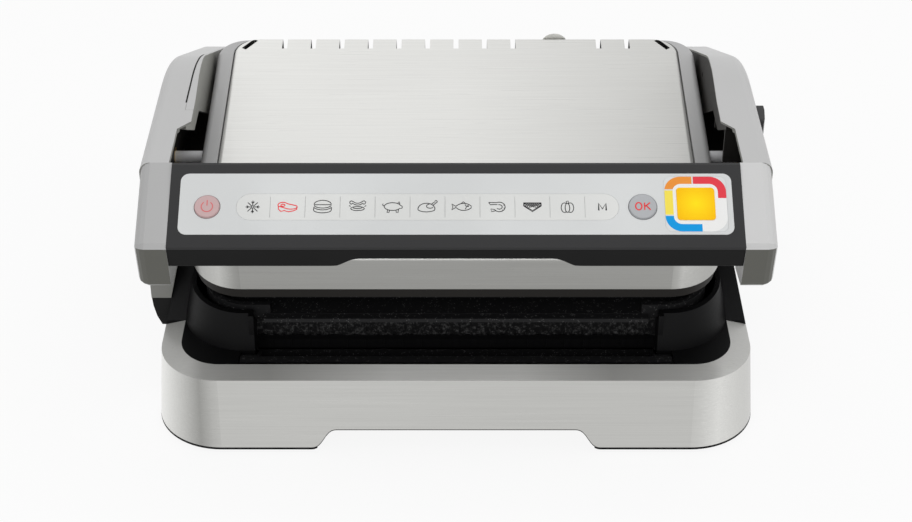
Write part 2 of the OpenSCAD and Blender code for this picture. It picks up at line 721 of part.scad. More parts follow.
// Black structural frame inside an arm
module arm_frame_solid() difference() {
    union() {
        across(web_in, web_out) arm_side(arm_edge_r + 3, 2);
        rod(boss_r, arm_in + 0.3, boss_out, hub_c);
        rod(rod_bush_r + 2, web_in, web_out, [rod_y, rod_z]);
        // Floor of the channel
        across(cap_in + 1.2, web_out) polygon([[64, under_z + 10], [112, under_z + 0.2],
            [hinge_y - 64, under_z + 0.2], [hinge_y - 64, under_z + 3], [112.5, under_z + 3],
            [64, under_z + 13]]);
        // Block that the end cap and the handle seat on
        across(cap_in + skin + seat, web_out) polygon([[16.5, handle_z - 23.5],
            [25, cap_foot + 3], [arm_front[0] + 3, cap_foot + 21], [64, under_z + 9],
            [64, arm_top - 17], [40, arm_top - 14.5], [16.5, handle_z - 2.5]]);
    }
    rod(bush_r, arm_in - 1, arm_out, hub_c);
    rod(rod_bush_r, arm_in - 1, arm_out, [rod_y, rod_z]);
}
bush_r = pin_d / 2 + 3;
rod_bush_r = rod_d / 2 + 2.5;
module arm_frame_left() color(black) centred() side(left) arm_frame_solid();
// The right frame also has the arm's dark inner wall, with ribs that tie it to the web
module arm_frame_right() color(black) centred() side(right) {
    difference() {
        arm_frame_solid();
        release_hole(0.8);
    }
    difference() {
        union() {
            arm_wall(thin_edge + seat);
            for (rib = [[100, 34], [142, 34], [190, 44], [232, 60]]) across(arm_in + 1, web_in + 1)
                intersection() {
                    arm_side(arm_edge_r + 3, 2);
                    translate([rib[0], arm_top - rib[1]]) square([2.5, 34]);
                }
        }
        rod(bush_r, arm_in - 1, arm_out, hub_c);
        rod(1.6, arm_in - 1, arm_in + skin + 1, [crown_y + 63, arm_top - 31]);
    }
}

module bush(r_in, r_out, x0, x1, at) difference() {
    rod(r_out, x0, x1, at);
    rod(r_in, x0 - 1, x1 + 1, at);
}
module hinge_bush(flag) color(brass) centred() side(flag)
    bush(pin_d / 2 + run_gap, bush_r, arm_in + 0.3, web_out, hub_c);
module hinge_bush_left() hinge_bush(left);
module hinge_bush_right() hinge_bush(right);
module rod_bush(flag) color(brass) centred() side(flag)
    bush(rod_d / 2 + run_gap, rod_bush_r, web_in, web_out, [rod_y, rod_z]);
module rod_bush_left() rod_bush(left);
module rod_bush_right() rod_bush(right);

// ---- End caps: rounded on their outer side ----
cap_foot = handle_z - 31;
module cap_side() polygon([arm_front + [20, 4], arm_front + [0, 0], [face_y + 2, handle_z + 1.5],
    [face_y, handle_z - 1.5], [face_y + 5, cap_foot + 2], [face_y + 7, cap_foot],
    [24, cap_foot - 3], [arm_front[0], cap_foot + 14], [arm_front[0] + 20, cap_foot + 31]]);
module cap_slab(x, t, inset) across(x, x + t) intersection() {
    offset(delta = -inset) cap_side();
    translate([-far, 0]) square([far + arm_front[0], far]);
}
module end_cap(flag) color(light_grey) centred() side(flag) difference() {
    hull() {
        cap_slab(cap_in, arm_t - 9, 0);
        cap_slab(arm_out - 4.3, 0.1, 0.9);
        cap_slab(arm_out - 2.3, 0.1, 2.4);
        cap_slab(arm_out - 1.3, 0.1, 4.4);
    }
    across(cap_in + skin, web_out + 0.3) polygon([[16, handle_z - 24], [25, cap_foot + 2],
        [arm_front[0] + 1, cap_foot + 18.5], [arm_front[0] + 1, arm_top - 10],
        [40, arm_top - 14], [16, handle_z - 2]]);
}
module end_cap_left() end_cap(left);
module end_cap_right() end_cap(right);

// ---- Handle ----
shell_t = 9;
module handle_shell() color(charcoal) centred() difference() {
    on_face() across(-bar_w / 2, bar_w / 2) polygon([[0, 0], [face_l, 0], [face_l + 1.6, -0.7],
        [face_l + 2.4, -2.4], [face_l + 2.4, -shell_t], [3, -4], [-0.58, -1.8]]);
    on_face() translate([0, panel_mid, -panel_t]) linear_extrude(10)
        rounded(panel_w + 0.2, panel_l + 0.2, 5.1);
    // Space for the board
    on_face() translate([0, panel_mid, -shell_t - 20]) linear_extrude(20 + shell_t - 4.2)
        rounded(panel_w - 14, panel_l - 6, 3);
    button_holes(-10);
}
module button_holes(z) on_face() {
    translate([power_x, row_mid, z]) cylinder(h = 30, r = power_d / 2 + 0.35);
    translate([ok_x, row_mid, z]) cylinder(h = 30, r = ok_d / 2 + 0.35);
}

module handle_grip() color(charcoal) centred() {
    lip_z = handle_z - 15.5;
    difference() {
        across(-bar_w / 2, bar_w / 2) polygon(concat([[face_y + 0.4, handle_z - 2],
            [face_y + 3.6, lip_z + 0.6], [face_y + 5, lip_z - 0.6], [face_y + 11, lip_z - 2],
            [24, lip_z - 1], [arm_front[0], lip_z + 9], [arm_front[0] + 3.5, lip_z + 14],
            [arm_front[0] + 4.2, lip_z + 22]], grip_top));
        across(-bar_w / 2 + 8, bar_w / 2 - 8) polygon([[face_y + 12, lip_z + 10.5],
            [face_y + 20, lip_z + 9], [24, lip_z + 9], [arm_front[0] - 1, lip_z + 13],
            [arm_front[0], 400], [face_y + 12, 400]]);
        // The lip lifts over the middle, where the fingers go
        rise = ogee([grip_recess[1], lip_z - 0.7], [grip_recess[0], lip_z + grip_recess[2]]);
        translate([0, 17, 0]) rotate([90, 0, 0]) linear_extrude(40) polygon(concat(
            [[grip_recess[1], 0]], rise, [for (i = [len(rise) - 1 : -1 : 0]) [-rise[i][0], rise[i][1]]],
            [[-grip_recess[1], 0]]));
    }
}
// Underside of the shell, where the grip meets it
function off_face(u, v) = [face_y + u * cos(panel_slope) - v * sin(panel_slope),
    handle_z + u * sin(panel_slope) + v * cos(panel_slope)];
grip_top = [off_face(face_l + 2.4, -shell_t - 0.1), off_face(3, -4.1), off_face(-0.6, -1.9)];

module control_panel() color(panel_grey) centred() difference() {
    on_face() translate([0, panel_mid, -panel_t]) linear_extrude(panel_t)
        rounded(panel_w, panel_l, 5);
    on_face() translate([strip_x, row_mid, -inlay_t]) linear_extrude(5)
        rounded(strip_l + 0.2, strip_w + 0.2, strip_w / 2);
    on_face() translate([ring_x, panel_mid, -inlay_t]) linear_extrude(5)
        rounded(ring_w + 0.2, ring_w + 0.2, 4.1);
    button_holes(-10);
}

key_pitch = (strip_l - 18) / keys + 1.75;
module key_strip() color(panel_grey) centred() on_face()
    translate([strip_x, row_mid, -inlay_t]) difference() {
        linear_extrude(inlay_t) rounded(strip_l, strip_w, strip_w / 2 - 0.1);
        for (i = [1 : keys - 1]) translate([(i - keys / 2) * key_pitch - 0.15,
            1.5 - strip_w / 2, inlay_t - 0.2]) cube([0.3, strip_w - 3, 1]);
    }

module indicator_ring() color("gold") centred() on_face()
    translate([ring_x, panel_mid, -inlay_t]) linear_extrude(inlay_t) difference() {
        rounded(ring_w, ring_w, 4);
        rounded(lens_w + 0.2, lens_w - 0.8, 2.1);
    }
module indicator_lens() color("yellow") centred() on_face()
    translate([ring_x, panel_mid, -inlay_t]) linear_extrude(inlay_t + 0.3)
        rounded(lens_w, lens_w - 1, 2);

module control_board() color(board_green) centred() on_face()
    translate([0, panel_mid, -shell_t]) {
        linear_extrude(1.6) rounded(panel_w - 20, panel_l - 10, 2);
        for (x = [-panel_w / 2 + 36, panel_w / 2 - 72]) translate([x, 0, 1.6])
            cylinder(h = shell_t - 4.2 - 1.6, r = 3);
    }

module panel_button(d, x) on_face() translate([x, row_mid, 0]) {
    translate([0, 0, -4.6]) cylinder(h = 4.9, r = d / 2);
    translate([0, 0, 0.3]) cylinder(h = 0.5, r = d / 2 - 0.5);
    translate([0, 0, -6]) cylinder(h = 2, r = d / 2 - 4);
}
module power_button() color(light_grey) centred() panel_button(power_d, power_x);
module ok_button() color("silver") centred() panel_button(ok_d, ok_x);

module release_button() color(charcoal) centred() intersection() {
    half = release_l / 2;
    translate([web_in - 0.4, release_y, release_z]) rotate([90, 0, 90])
        linear_extrude(far) rounded(release_l, release_h, 4.6);
    // Its face leans out towards the back
    linear_extrude(far) polygon([[0, release_y - far], [arm_out + 3.4, release_y - half],
        [arm_out + 4.8, release_y - half + 4], [arm_out + release_out, release_y + 3],
        [arm_out + release_out, release_y + half - 2], [arm_out + release_out - 0.8, release_y + half],
        [0, release_y + far]]);
}

// ---- Lid ----
step_y = 62;                                // where the steel narrows between the side rims
bend_r = 3;
module sheet_section() {
    translate([-sheet_t, -cover_h]) square([sheet_t, cover_h - bend_r]);
    translate([-bend_r, -bend_r]) intersection() {
        difference() {
            circle(bend_r);
            circle(bend_r - sheet_t);
        }
        square(bend_r);
    }
    translate([-bend_r - 1, -sheet_t]) square([1.01, sheet_t]);
}
module steel_top(w, rf, rr) {
    ring(w, head_d, rf, rr) sheet_section();
    translate([0, bend_r, -sheet_t]) linear_extrude(sheet_t)
        plan(w - 2 * bend_r, head_d - 2 * bend_r, rf - bend_r, rr - bend_r);
}
steel_rr = head_rr - 3;

module rear_slots() {
    skipped = [3, 4];
    last = floor((steel_w / 2 - steel_rr) / slot_pitch);
    for (i = [-last : last]) if (len(search(i, skipped)) == 0)
        translate([i * slot_pitch - slot_w / 2, head_d - slot_l, -10]) cube([slot_w, 2 * slot_l, 20]);
    for (s = [-1, 1]) translate([s * (steel_w / 2 - 10), head_d - 8, -3])
        rotate([0, 0, s * 35]) translate([-slot_w / 2, -slot_l / 2, 0]) cube([slot_w, slot_l, 6]);
}

module head_cover() color(steel) centred() tilted() difference() {
    union() {
        intersection() {
            steel_top(head_w, head_rf, head_rr);
            front_part(step_y);
        }
        difference() {
            steel_top(steel_w, head_rf, steel_rr);
            front_part(step_y);
        }
    }
    rear_slots();
    rod(rod_d / 2 + 0.4, -far / 2, far / 2, [rod_along, -rod_drop]);
}

module rim_section() difference() {
    union() {
        translate([-head_rr + 1, -cover_h]) square([head_rr - 1, cover_h - 4]);
        translate([-head_rr + 1, -5]) square([head_rr - 5, 5]);
        translate([-4, -4]) circle(4);
    }
    translate([-head_rr, -cover_h - 1]) square([head_rr - 3, cover_h - 2]);
}
module head_rim(flag) color(light_grey) centred() tilted() side(flag) difference() {
    ring(head_w, head_d, head_rf, head_rr) rim_section();
    front_part(step_y + seat);
    translate([0, 0, -far / 2]) linear_extrude(far)
        plan(steel_w + 2 * seat, head_d + 2 * seat, head_rf, steel_rr + seat);
    translate([-far, -far / 2, -far / 2]) cube([far, far * 2, far]);
    rod(rod_d / 2 + 0.4, 0, far / 2, [rod_along, -rod_drop]);
    // The rear end falls away to the back
    across(0, far) polygon([[head_d - head_rr, 0.01], [head_d + 1, -2], [head_d + 1, 1]]);
}
module head_rim_left() head_rim(left);
module head_rim_right() head_rim(right);

// Black frame of the lid: a wall round the plate, a flange, and a deck over the heater
deck_drop = 14;
flange_drop = cover_h + 0.3;
module head_frame() color(black) centred() tilted() difference() {
    union() {
        translate([0, 2, 0]) ring(head_w - 4, head_d - 4, head_rf - 2, head_rr - 2)
            polygon([[0, -flange_drop - 7.7], [0, -flange_drop], [-2.5, -flange_drop],
                [-2.5, -flange_drop - 7.7]]);
        difference() {
            union() {
                translate([0, 3, -flange_drop - 1.5]) linear_extrude(1.5)
                    plan(head_w - 6, head_d - 6, head_rf - 3, head_rr - 3);
                translate([0, 3, -flange_drop - 1.5]) linear_extrude(flange_drop + 1.5 - deck_drop)
                    plan(steel_w - 5, head_d - 6, head_rf - 9, steel_rr - 3);
            }
            translate([0, 5.2, -flange_drop - 10]) linear_extrude(flange_drop + 10 - deck_drop - 2.2)
                plan(steel_w - 9.4, head_d - 10.4, head_rf - 11, steel_rr - 5);
        }
        // Bar behind the plate, notched for its clips
        difference() {
            translate([-120, plate_front + plate_d + 0.9, -flange_drop - 7.7])
                cube([240, head_d - plate_front - plate_d - 4, 6.5]);
            for (x = clip_x) translate([x - 8, plate_front + plate_d, -flange_drop - 9])
                cube([16, 6, 20]);
        }
        // Boss for each stub axle
        for (s = [0, 1]) side(s) translate([rod_in - 1, rod_along - 13, -deck_drop - 1])
            cube([steel_w / 2 - sheet_t - 0.3 - rod_in + 1, 26, deck_drop + 1 - sheet_t - 1.4]);
    }
    rod(rod_d / 2 + 0.05, -far / 2, far / 2, [rod_along, -rod_drop]);
}

module stub_rod(flag) color(chrome) centred() side(flag)
    rod(rod_d / 2, rod_in, web_out - 1, [rod_y, rod_z]);
module rod_left() stub_rod(left);
module rod_right() stub_rod(right);

module head_screws() color(steel) centred() tilted(deck_drop + 2.3 + 1.6)
    for (x = [-1, 1], y = [20, head_d - 20]) translate([x * (steel_w / 2 - 14), y, 0])
        difference() {
            cylinder(h = 1.6, r = 3.4);
            translate([0, 0, -1]) cylinder(h = 1.8, r = 1.6, $fn = 6);
        }

dome_r = 9.2;
dome_h = 3.4;
module rear_dome() color(steel) centred() tilted() translate([67 * base_w / 372, head_d + seat, -6])
    rotate([-90, 0, 0]) rotate_extrude() intersection() {
        ball = (dome_r * dome_r + dome_h * dome_h) / (2 * dome_h);
        translate([0, dome_h - ball]) circle(ball);
        square([dome_r, dome_h]);
    }

base_tub();
base_skirt();
base_top();
bottom_cover();
feet();
bottom_screws();
lower_plate();
lower_plate_clips();
lower_heater();
lower_reflector();
lower_probe();
power_board();
cord_gland();
hinge_bracket_left();
hinge_bracket_right();
hinge_pin_left();
hinge_pin_right();
bracket_screws();
side_foot_bracket();
side_foot_pad();
drip_tray();
arm_shell_left();
arm_shell_right();
arm_frame_left();
arm_frame_right();
arm_cover_left();
end_cap_left();
end_cap_right();
hinge_bush_left();
hinge_bush_right();
rod_bush_left();
rod_bush_right();
handle_shell();
handle_grip();
control_panel();
key_strip();
indicator_ring();
indicator_lens();
control_board();
power_button();
ok_button();
release_button();
head_cover();
head_rim_left();
head_rim_right();
head_frame();
rod_left();
rod_right();
upper_heater();
upper_reflector();
upper_plate();
upper_plate_clips();
upper_probe();
head_screws();
rear_dome();
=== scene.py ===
# %% [markdown]
# # Electric contact grill with a lid
#
# The grill stands closed: a brushed steel lid floats between two light grey arms, a charcoal
# bar with the control panel joins them in front, and a black base with a steel skirt carries
# the lower plate and a drip tray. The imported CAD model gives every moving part. This lesson
# dresses it: camera, light, finishes, and the small pieces that CAD leaves to Blender.

# %% Load the frame
import math

import bmesh
import bpy
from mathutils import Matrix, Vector
from mathutils.bvhtree import BVHTree


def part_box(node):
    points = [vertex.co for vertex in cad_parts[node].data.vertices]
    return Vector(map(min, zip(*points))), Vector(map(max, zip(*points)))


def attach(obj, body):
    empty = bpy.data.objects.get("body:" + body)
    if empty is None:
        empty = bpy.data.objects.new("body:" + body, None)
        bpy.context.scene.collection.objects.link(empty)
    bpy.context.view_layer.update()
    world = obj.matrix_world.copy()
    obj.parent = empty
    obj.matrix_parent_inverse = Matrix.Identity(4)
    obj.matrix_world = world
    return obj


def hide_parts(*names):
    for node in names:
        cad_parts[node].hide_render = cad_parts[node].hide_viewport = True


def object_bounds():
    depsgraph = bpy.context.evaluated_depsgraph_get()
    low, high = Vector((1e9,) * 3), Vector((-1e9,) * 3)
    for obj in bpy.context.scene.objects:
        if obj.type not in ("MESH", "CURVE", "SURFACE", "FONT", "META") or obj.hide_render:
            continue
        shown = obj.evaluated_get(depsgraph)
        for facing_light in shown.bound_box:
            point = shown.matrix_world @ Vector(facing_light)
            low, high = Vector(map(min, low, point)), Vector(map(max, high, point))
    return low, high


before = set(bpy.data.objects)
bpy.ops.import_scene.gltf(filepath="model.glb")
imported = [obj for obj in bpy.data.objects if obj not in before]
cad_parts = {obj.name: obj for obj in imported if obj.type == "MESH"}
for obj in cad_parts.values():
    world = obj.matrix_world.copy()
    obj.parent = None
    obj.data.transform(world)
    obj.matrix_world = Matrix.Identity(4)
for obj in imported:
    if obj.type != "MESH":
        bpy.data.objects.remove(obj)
CAD_LOW, CAD_HIGH = [[round(c, 6) for c in facing_light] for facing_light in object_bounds()]
print("CAD box", CAD_LOW, CAD_HIGH)

# %% [markdown]
# ## Camera
#
# Every object of this lesson enters the scene through `added`.
#
# The photograph looks down on the grill by 34 degrees from straight in front. Its perspective
# gives the distance: the base's front corners and the lid's rear corners fit one pinhole only.
# The frame is 912 by 522 pixels and the object is near its middle, so no shift is needed.


# %% Camera
def added(name, data):
    """A new object with this data, linked into the scene."""
    made = bpy.data.objects.new(name, data)
    bpy.context.scene.collection.objects.link(made)
    return made


FRAME_PX = (912, 522)
FOCAL_PX = 1900
SENSOR_MM = 36
TILT_DOWN = 34
IN_FRONT, ABOVE = 0.9046, 0.7567  # metres, from the base's front edge and from the floor
cam = added("camera", bpy.data.cameras.new("camera"))
cam.data.sensor_width = SENSOR_MM
cam.data.lens = SENSOR_MM * FOCAL_PX / FRAME_PX[0]
cam.data.clip_end = 50
cam.location = (0, CAD_LOW[1] - IN_FRONT, ABOVE)
cam.rotation_euler = (math.radians(90 - TILT_DOWN), 0, 0)
bpy.context.scene.camera = cam
print("lens", round(cam.data.lens, 2), "at", [round(c, 3) for c in cam.location])

# %% [markdown]
# ## Shader maths as Python
#
# A finish is a small sum over the surface: grain here, speckle there. Wrapping a socket in a
# class with overloaded operators lets the lesson write that sum as it would be said. Every
# other node comes from one method, `node`, which takes its type, settings and socket values.


# %% Shader maths
class Wire:
    """A value inside one node tree."""

    def __init__(self, graph, socket):
        self.graph, self.socket = graph, socket

    def _math(self, kind, a, b):
        return self.graph.node("ShaderNodeMath", {"operation": kind}, {0: a, 1: b})[0]

    def __add__(self, b):
        return self._math("ADD", self, b)

    def __sub__(self, b):
        return self._math("SUBTRACT", self, b)

    def __rsub__(self, a):
        return self._math("SUBTRACT", a, self)

    def __mul__(self, b):
        return self._math("MULTIPLY", self, b)

    def __lt__(self, b):
        return self._math("LESS_THAN", self, b)

    def __gt__(self, b):
        return self._math("GREATER_THAN", self, b)

    def __pow__(self, b):
        return self._math("POWER", self, b)

    def __abs__(self):
        return self._math("ABSOLUTE", self, 0.0)

    def over(self, b):
        return self._math("MAXIMUM", self, b)

    def under(self, b):
        return self._math("MINIMUM", self, b)

    __radd__ = __add__
    __rmul__ = __mul__


class Graph:
    """A node tree that is filled by one method."""

    def __init__(self, tree):
        self.nodes, self.links = tree.nodes, tree.links
        self.nodes.clear()

    def node(self, kind, settings=None, inputs=None):
        """A node with its settings and inputs; returns a wire from each of its outputs."""
        made = self.nodes.new(kind)
        for key, value in (settings or {}).items():
            if key == "stops":
                for i, (where, color) in enumerate(value):
                    stop = made.color_ramp.elements[i] if i < 2 \
                        else made.color_ramp.elements.new(where)
                    stop.position, stop.color = where, color
            else:
                setattr(made, key, value)
        for key, value in (inputs or {}).items():
            if isinstance(value, (Wire, list)):
                for wire in value if isinstance(value, list) else [value]:
                    self.links.new(wire.socket, made.inputs[key])
            else:
                made.inputs[key].default_value = value
        return [Wire(self, out) for out in made.outputs]


OBJECT_COORDS = 3  # output of the Texture Coordinate node
NORMAL = 1  # output of the Geometry node
MIX_A, MIX_B, MIX_RESULT = 6, 7, 2  # colour sockets of the Mix node
CLOUDY = (0.35, 0.65)  # noise stays near its middle, so these ends stretch it over 0 to 1
GRAINY = (0.3, 0.7)


class Finish(Graph):
    """One material and its node tree."""

    def __init__(self, name):
        self.material = bpy.data.materials.new(name)
        self.material.use_nodes = True
        super().__init__(self.material.node_tree)

    def place(self, scale=(1, 1, 1)):
        """Object coordinates in metres, stretched by scale."""
        where = self.node("ShaderNodeTexCoord")[OBJECT_COORDS]
        return self.node("ShaderNodeMapping", {}, {"Vector": where, "Scale": scale})[0]

    def axes(self):
        """x, y and z of a point on the object, in metres."""
        return self.node("ShaderNodeSeparateXYZ", {},
                         {0: self.node("ShaderNodeTexCoord")[OBJECT_COORDS]})

    def facing(self):
        """The way a point faces: to the right, to the back and upward, each -1 to 1."""
        return self.node("ShaderNodeSeparateXYZ", {},
                         {0: self.node("ShaderNodeNewGeometry")[NORMAL]})

    def noise(self, scale, detail=2.0, rough=0.5, stretch=(1, 1, 1)):
        return self.node("ShaderNodeTexNoise", {},
                         {"Vector": self.place(stretch), "Scale": scale, "Detail": detail,
                          "Roughness": rough})[0]

    def ramp(self, value, low, high, to_low=0.0, to_high=1.0):
        """A value that goes from low to high turned into one from to_low to to_high."""
        return self.node("ShaderNodeMapRange", {}, {
            "Value": value, "From Min": low, "From Max": high, "To Min": to_low,
            "To Max": to_high})[0]

    def mix(self, factor, a, b):
        return self.node("ShaderNodeMix", {"data_type": "RGBA"},
                         {0: factor, MIX_A: a, MIX_B: b})[MIX_RESULT]

    def bump(self, height, depth, strength=1.0):
        return self.node("ShaderNodeBump", {}, {"Height": height, "Distance": depth,
                                                "Strength": strength})[0]

    def surface(self, color, roughness, metallic=0.0, gloss=0.5, **more):
        """Ends the tree in a Principled shader; gloss is its plain mirror light."""
        inputs = {"Base Color": color, "Roughness": roughness, "Metallic": metallic,
                  "Specular IOR Level": gloss}
        inputs.update({key.replace("_", " "): value for key, value in more.items()})
        shader = self.node("ShaderNodeBsdfPrincipled", {}, inputs)[0]
        self.node("ShaderNodeOutputMaterial", {}, {"Surface": shader})
        return self.material


def rgb(r, g, b):
    """A colour as it shows on the screen, 0 to 255, turned into light values."""
    light = [(c / 255 / 12.92) if c <= 10 else ((c / 255 + 0.055) / 1.055) ** 2.4
             for c in (r, g, b)]
    return (*light, 1.0)


print("shader helpers ready")

# %% [markdown]
# ## Brushed steel
#
# The lid and the skirt are one thin stainless sheet, brushed along the grill, so the scratches
# run along X: noise squeezed hard in Y and Z and stretched in X. Its tones are painted light:
# painted reflections and painted shade by the way the sheet faces, pale on top and greyer on its
# upright walls, with a painted highlight band and a painted shade band where it turns a corner.
# A ramp over the surface normal gives those bands, and a ramp over X paints highlight and shade
# bands from left to right over the top. They keep their place when the camera moves, and change
# as they would in a room when the lid is opened.


# %% Steel
# The painted light on the steel and the arms changes from left to right over this half width.
HALF_WIDTH = 0.19  # metres, over which the tones change from left to right
# The second colour is painted shade for the cut edges inside the slots and the front recess.
STREAK, SLOT_SHADE = rgb(120, 118, 116), rgb(52, 52, 52)


def grey(v, warm=3):
    return rgb(v, v, v - warm)


def tones(*stops):
    """Stops of a colour ramp. A new ramp has its two ends, so these come first."""
    inner = [(p, grey(v)) for p, v in stops[1:-1]]
    return [(stops[0][0], grey(stops[0][1])), (stops[-1][0], grey(stops[-1][1]))] + inner


def brushed_steel(name, top, facing_light_stops, top_metal, rough=0.3):
    """Painted light from left to right on top, painted reflection and shade by the way a wall
    faces, and scratches along X.
    """
    f = Finish(name)
    scratch = f.noise(1.0, 3.0, 0.6, (10, 1500, 1500))
    cloud = f.noise(7.0, 2.0, 0.5, (0.5, 1, 1))
    across, _, upward = f.facing()
    x = f.axes()[0]
    level = f.ramp(upward, 0.25, 0.9)
    # painted reflection and painted shade by the way a wall faces, and painted bands from left to
    # right on top
    facing_light = f.node("ShaderNodeValToRGB", {"stops": facing_light_stops}, {0: f.ramp(across, -1.0, 1.0)})[0]
    top_light = f.node("ShaderNodeValToRGB", {"stops": top},
                  {0: f.ramp(x, -HALF_WIDTH, HALF_WIDTH)})[0]
    streaks = f.ramp(scratch, *GRAINY, 0.0, 0.12) + f.ramp(cloud, *CLOUDY, 0.0, 0.06)
    streaked = f.mix(streaks, f.mix(level, facing_light, top_light), STREAK)
    # the cut edges of slots and of the front recess face sideways and lie away from the ends; their
    # dark grey is painted shade
    slot_shade_mask = (abs(across) > 0.97) * (upward > -0.2) * (upward < 0.2) * (abs(x) < 0.15)
    roughness = f.ramp(scratch, 0.2, 0.8, rough - 0.05, rough + 0.07)
    return f.surface(f.mix(slot_shade_mask, streaked, SLOT_SHADE), roughness,
                     f.ramp(level, 0.0, 1.0, 0.95, top_metal), Normal=f.bump(scratch, 0.00002, 0.3))


# The stops of both ramps are painted light: painted highlight, reflection and shade bands.
skirt_steel = brushed_steel(
    "skirt_steel",
    tones((0.0, 190), (0.2, 180), (0.4, 240), (0.6, 240), (0.75, 190), (1.0, 210)),
    tones((0.0, 250), (0.35, 160), (0.5, 200), (0.7, 230), (1.0, 200)), 0.15)
lid_steel = brushed_steel(
    "lid_steel",
    tones((0.0, 240), (0.5, 230), (1.0, 200)),
    tones((0.0, 160), (0.3, 200), (0.48, 150), (0.6, 200), (1.0, 160)), 0.3)
# The rear dome is painted pale all over as a painted reflection.
dome_steel = brushed_steel(
    "dome_steel", tones((0.0, 238), (1.0, 238)), tones((0.0, 226), (1.0, 226)), 0.4)
print("steel ready")

# %% [markdown]
# ## Plastics, bare metals and coatings
#
# Moulded plastic is never one flat colour: a faint cloud in its tone and a fine spark-eroded
# grain in its bump make it read as plastic. The plates have a dark non-stick coat with pale
# flecks, made from a cell texture that only shows where a second noise is strong.


# %% Plastics and metals
# The painted shade on the arms' inner walls fades upward between these heights.
INNER_SHADE_Z = (0.115, 0.17)  # metres, over which the arms' inner walls grow paler
APRON_HALF_WIDTH = 0.1245  # the front apron of the black moulding, in metres
APRON_Y = (-0.1128, -0.1)
APRON_LOW = 0.0555


def plain_plastic(name, tone, rough=0.45, grain=0.0, gloss=0.3):
    f = Finish(name)
    cloud = f.noise(14.0)
    color = f.mix(f.ramp(cloud, *CLOUDY), rgb(*[c * 0.97 for c in tone]), rgb(*tone))
    normal = {"Normal": f.bump(f.noise(900.0), 0.0001, grain)} if grain else {}
    return f.surface(color, f.ramp(cloud, *GRAINY, rough - 0.03, rough + 0.03), 0.0, gloss,
                     **normal)


def metal(name, tone, rough=0.2):
    f = Finish(name)
    smear = f.noise(60.0)
    color = f.mix(f.ramp(smear, *CLOUDY), rgb(*[c * 0.95 for c in tone]), rgb(*tone))
    return f.surface(color, f.ramp(smear, *GRAINY, rough - 0.03, rough + 0.05), 1.0)


def satin_paint(name, left, right, under, inner=None):
    """The arms: one grey at each end of the grill as painted light, painted shade on faces turned
    down and forward, and painted shade on any inner wall, darkest low down.
    """
    f = Finish(name)
    cloud = f.noise(14.0)
    across, front, upward = f.facing()
    x, _, z = f.axes()
    # painted light: the grey goes from the left end's to the right end's
    tone = f.mix(f.ramp(x, -HALF_WIDTH, HALF_WIDTH), grey(left, 0), grey(right, 0))
    tone = f.mix(f.ramp(cloud, *CLOUDY, 0.0, 0.1), tone, grey(180, 2))
    # painted shade on faces turned down and toward the front
    underside_shade = f.ramp(upward, 0.25, -0.05) * f.ramp(front, -0.4, -0.8)
    tone = f.mix(underside_shade, tone, grey(under, 6))
    if inner:
        # painted shade on the inner walls, darkest low down
        inner_wall_shade_mask = f.ramp(across * f.ramp(x, -0.01, 0.01, 1.0, -1.0), 0.6, 0.9)
        shade = f.mix(f.ramp(z, *INNER_SHADE_Z), grey(inner[0], 4), grey(inner[1], 6))
        tone = f.mix(inner_wall_shade_mask, tone, shade)
    return f.surface(tone, f.ramp(cloud, *GRAINY, 0.36, 0.42), 0.0, 0.35,
                     Normal=f.bump(f.noise(900.0), 0.0001, 0.05))


def speckled_coating():
    f = Finish("non_stick_coating")
    cells = f.node("ShaderNodeTexVoronoi", {}, {"Vector": f.place(), "Scale": 900.0})[0]
    flecks = f.noise(450.0)
    color = f.mix((cells < 0.28) * (flecks > 0.55), rgb(24, 24, 25), rgb(88, 88, 88))
    return f.surface(color, f.ramp(flecks, *GRAINY, 0.42, 0.52), 0.0, 0.15,
                     Normal=f.bump(flecks, 0.0002, 0.3))


def tub_plastic():
    """Black moulding, with a coarse pale grain that lightens its front apron."""
    f = Finish("black_plastic")
    x, y, z = f.axes()
    grain, fine = f.noise(420.0, 4.0, 0.8), f.noise(900.0)
    apron = (abs(x) < APRON_HALF_WIDTH) * (y > APRON_Y[0]) * (y < APRON_Y[1]) * (z > APRON_LOW)
    color = f.mix(apron * f.ramp(grain, 0.5, 0.72), rgb(9, 9, 10), rgb(92, 92, 92))
    return f.surface(color, f.ramp(grain, *GRAINY, 0.42, 0.5), 0.0, 0.12,
                     Normal=f.bump(fine, 0.0001, 0.15))


# After the two end greys, which are painted light where they differ, come a painted shade grey for
# faces turned down and, for the arms, the painted shade greys of the inner walls.
arm_grey = satin_paint("light_grey_satin", 192, 192, 120, (62, 128))
rim_grey = satin_paint("rim_satin", 176, 178, 120)
cap_grey = satin_paint("cap_satin", 176, 212, 92)
panel_white = plain_plastic("panel_satin", (221, 223, 223), 0.35)
strip_white = plain_plastic("key_strip_satin", (228, 229, 227), 0.3)
ok_grey = plain_plastic("ok_button_grey", (180, 182, 185), 0.3)
power_pink = plain_plastic("power_button_lit", (208, 178, 178), 0.3)
charcoal = plain_plastic("charcoal_plastic", (44, 44, 45), 0.42, 0.12, 0.2)
grip_black = plain_plastic("grip_black", (20, 20, 20), 0.5, 0.12, 0.1)
black = tub_plastic()
frame_black = plain_plastic("frame_black", (34, 32, 30), 0.5, 0.2, 0.15)
rubber = plain_plastic("rubber_black", (26, 26, 26), 0.8, 0.3, 0.2)
# The chrome rods get pale glossy plastic: a painted reflection that keeps them bright.
rod_painted_gleam = plain_plastic("rod_painted_gleam", (236, 236, 238), 0.2, 0.0, 0.5)
coating = speckled_coating()
chrome = metal("chrome", (238, 238, 240), 0.08)
brass = metal("sintered_brass", (190, 165, 110), 0.35)
bare = metal("plain_steel", (170, 170, 172), 0.32)
sheath = metal("heater_sheath", (110, 108, 105), 0.5)
green = plain_plastic("circuit_board", (30, 92, 48), 0.35)
print("plastics and metals ready")

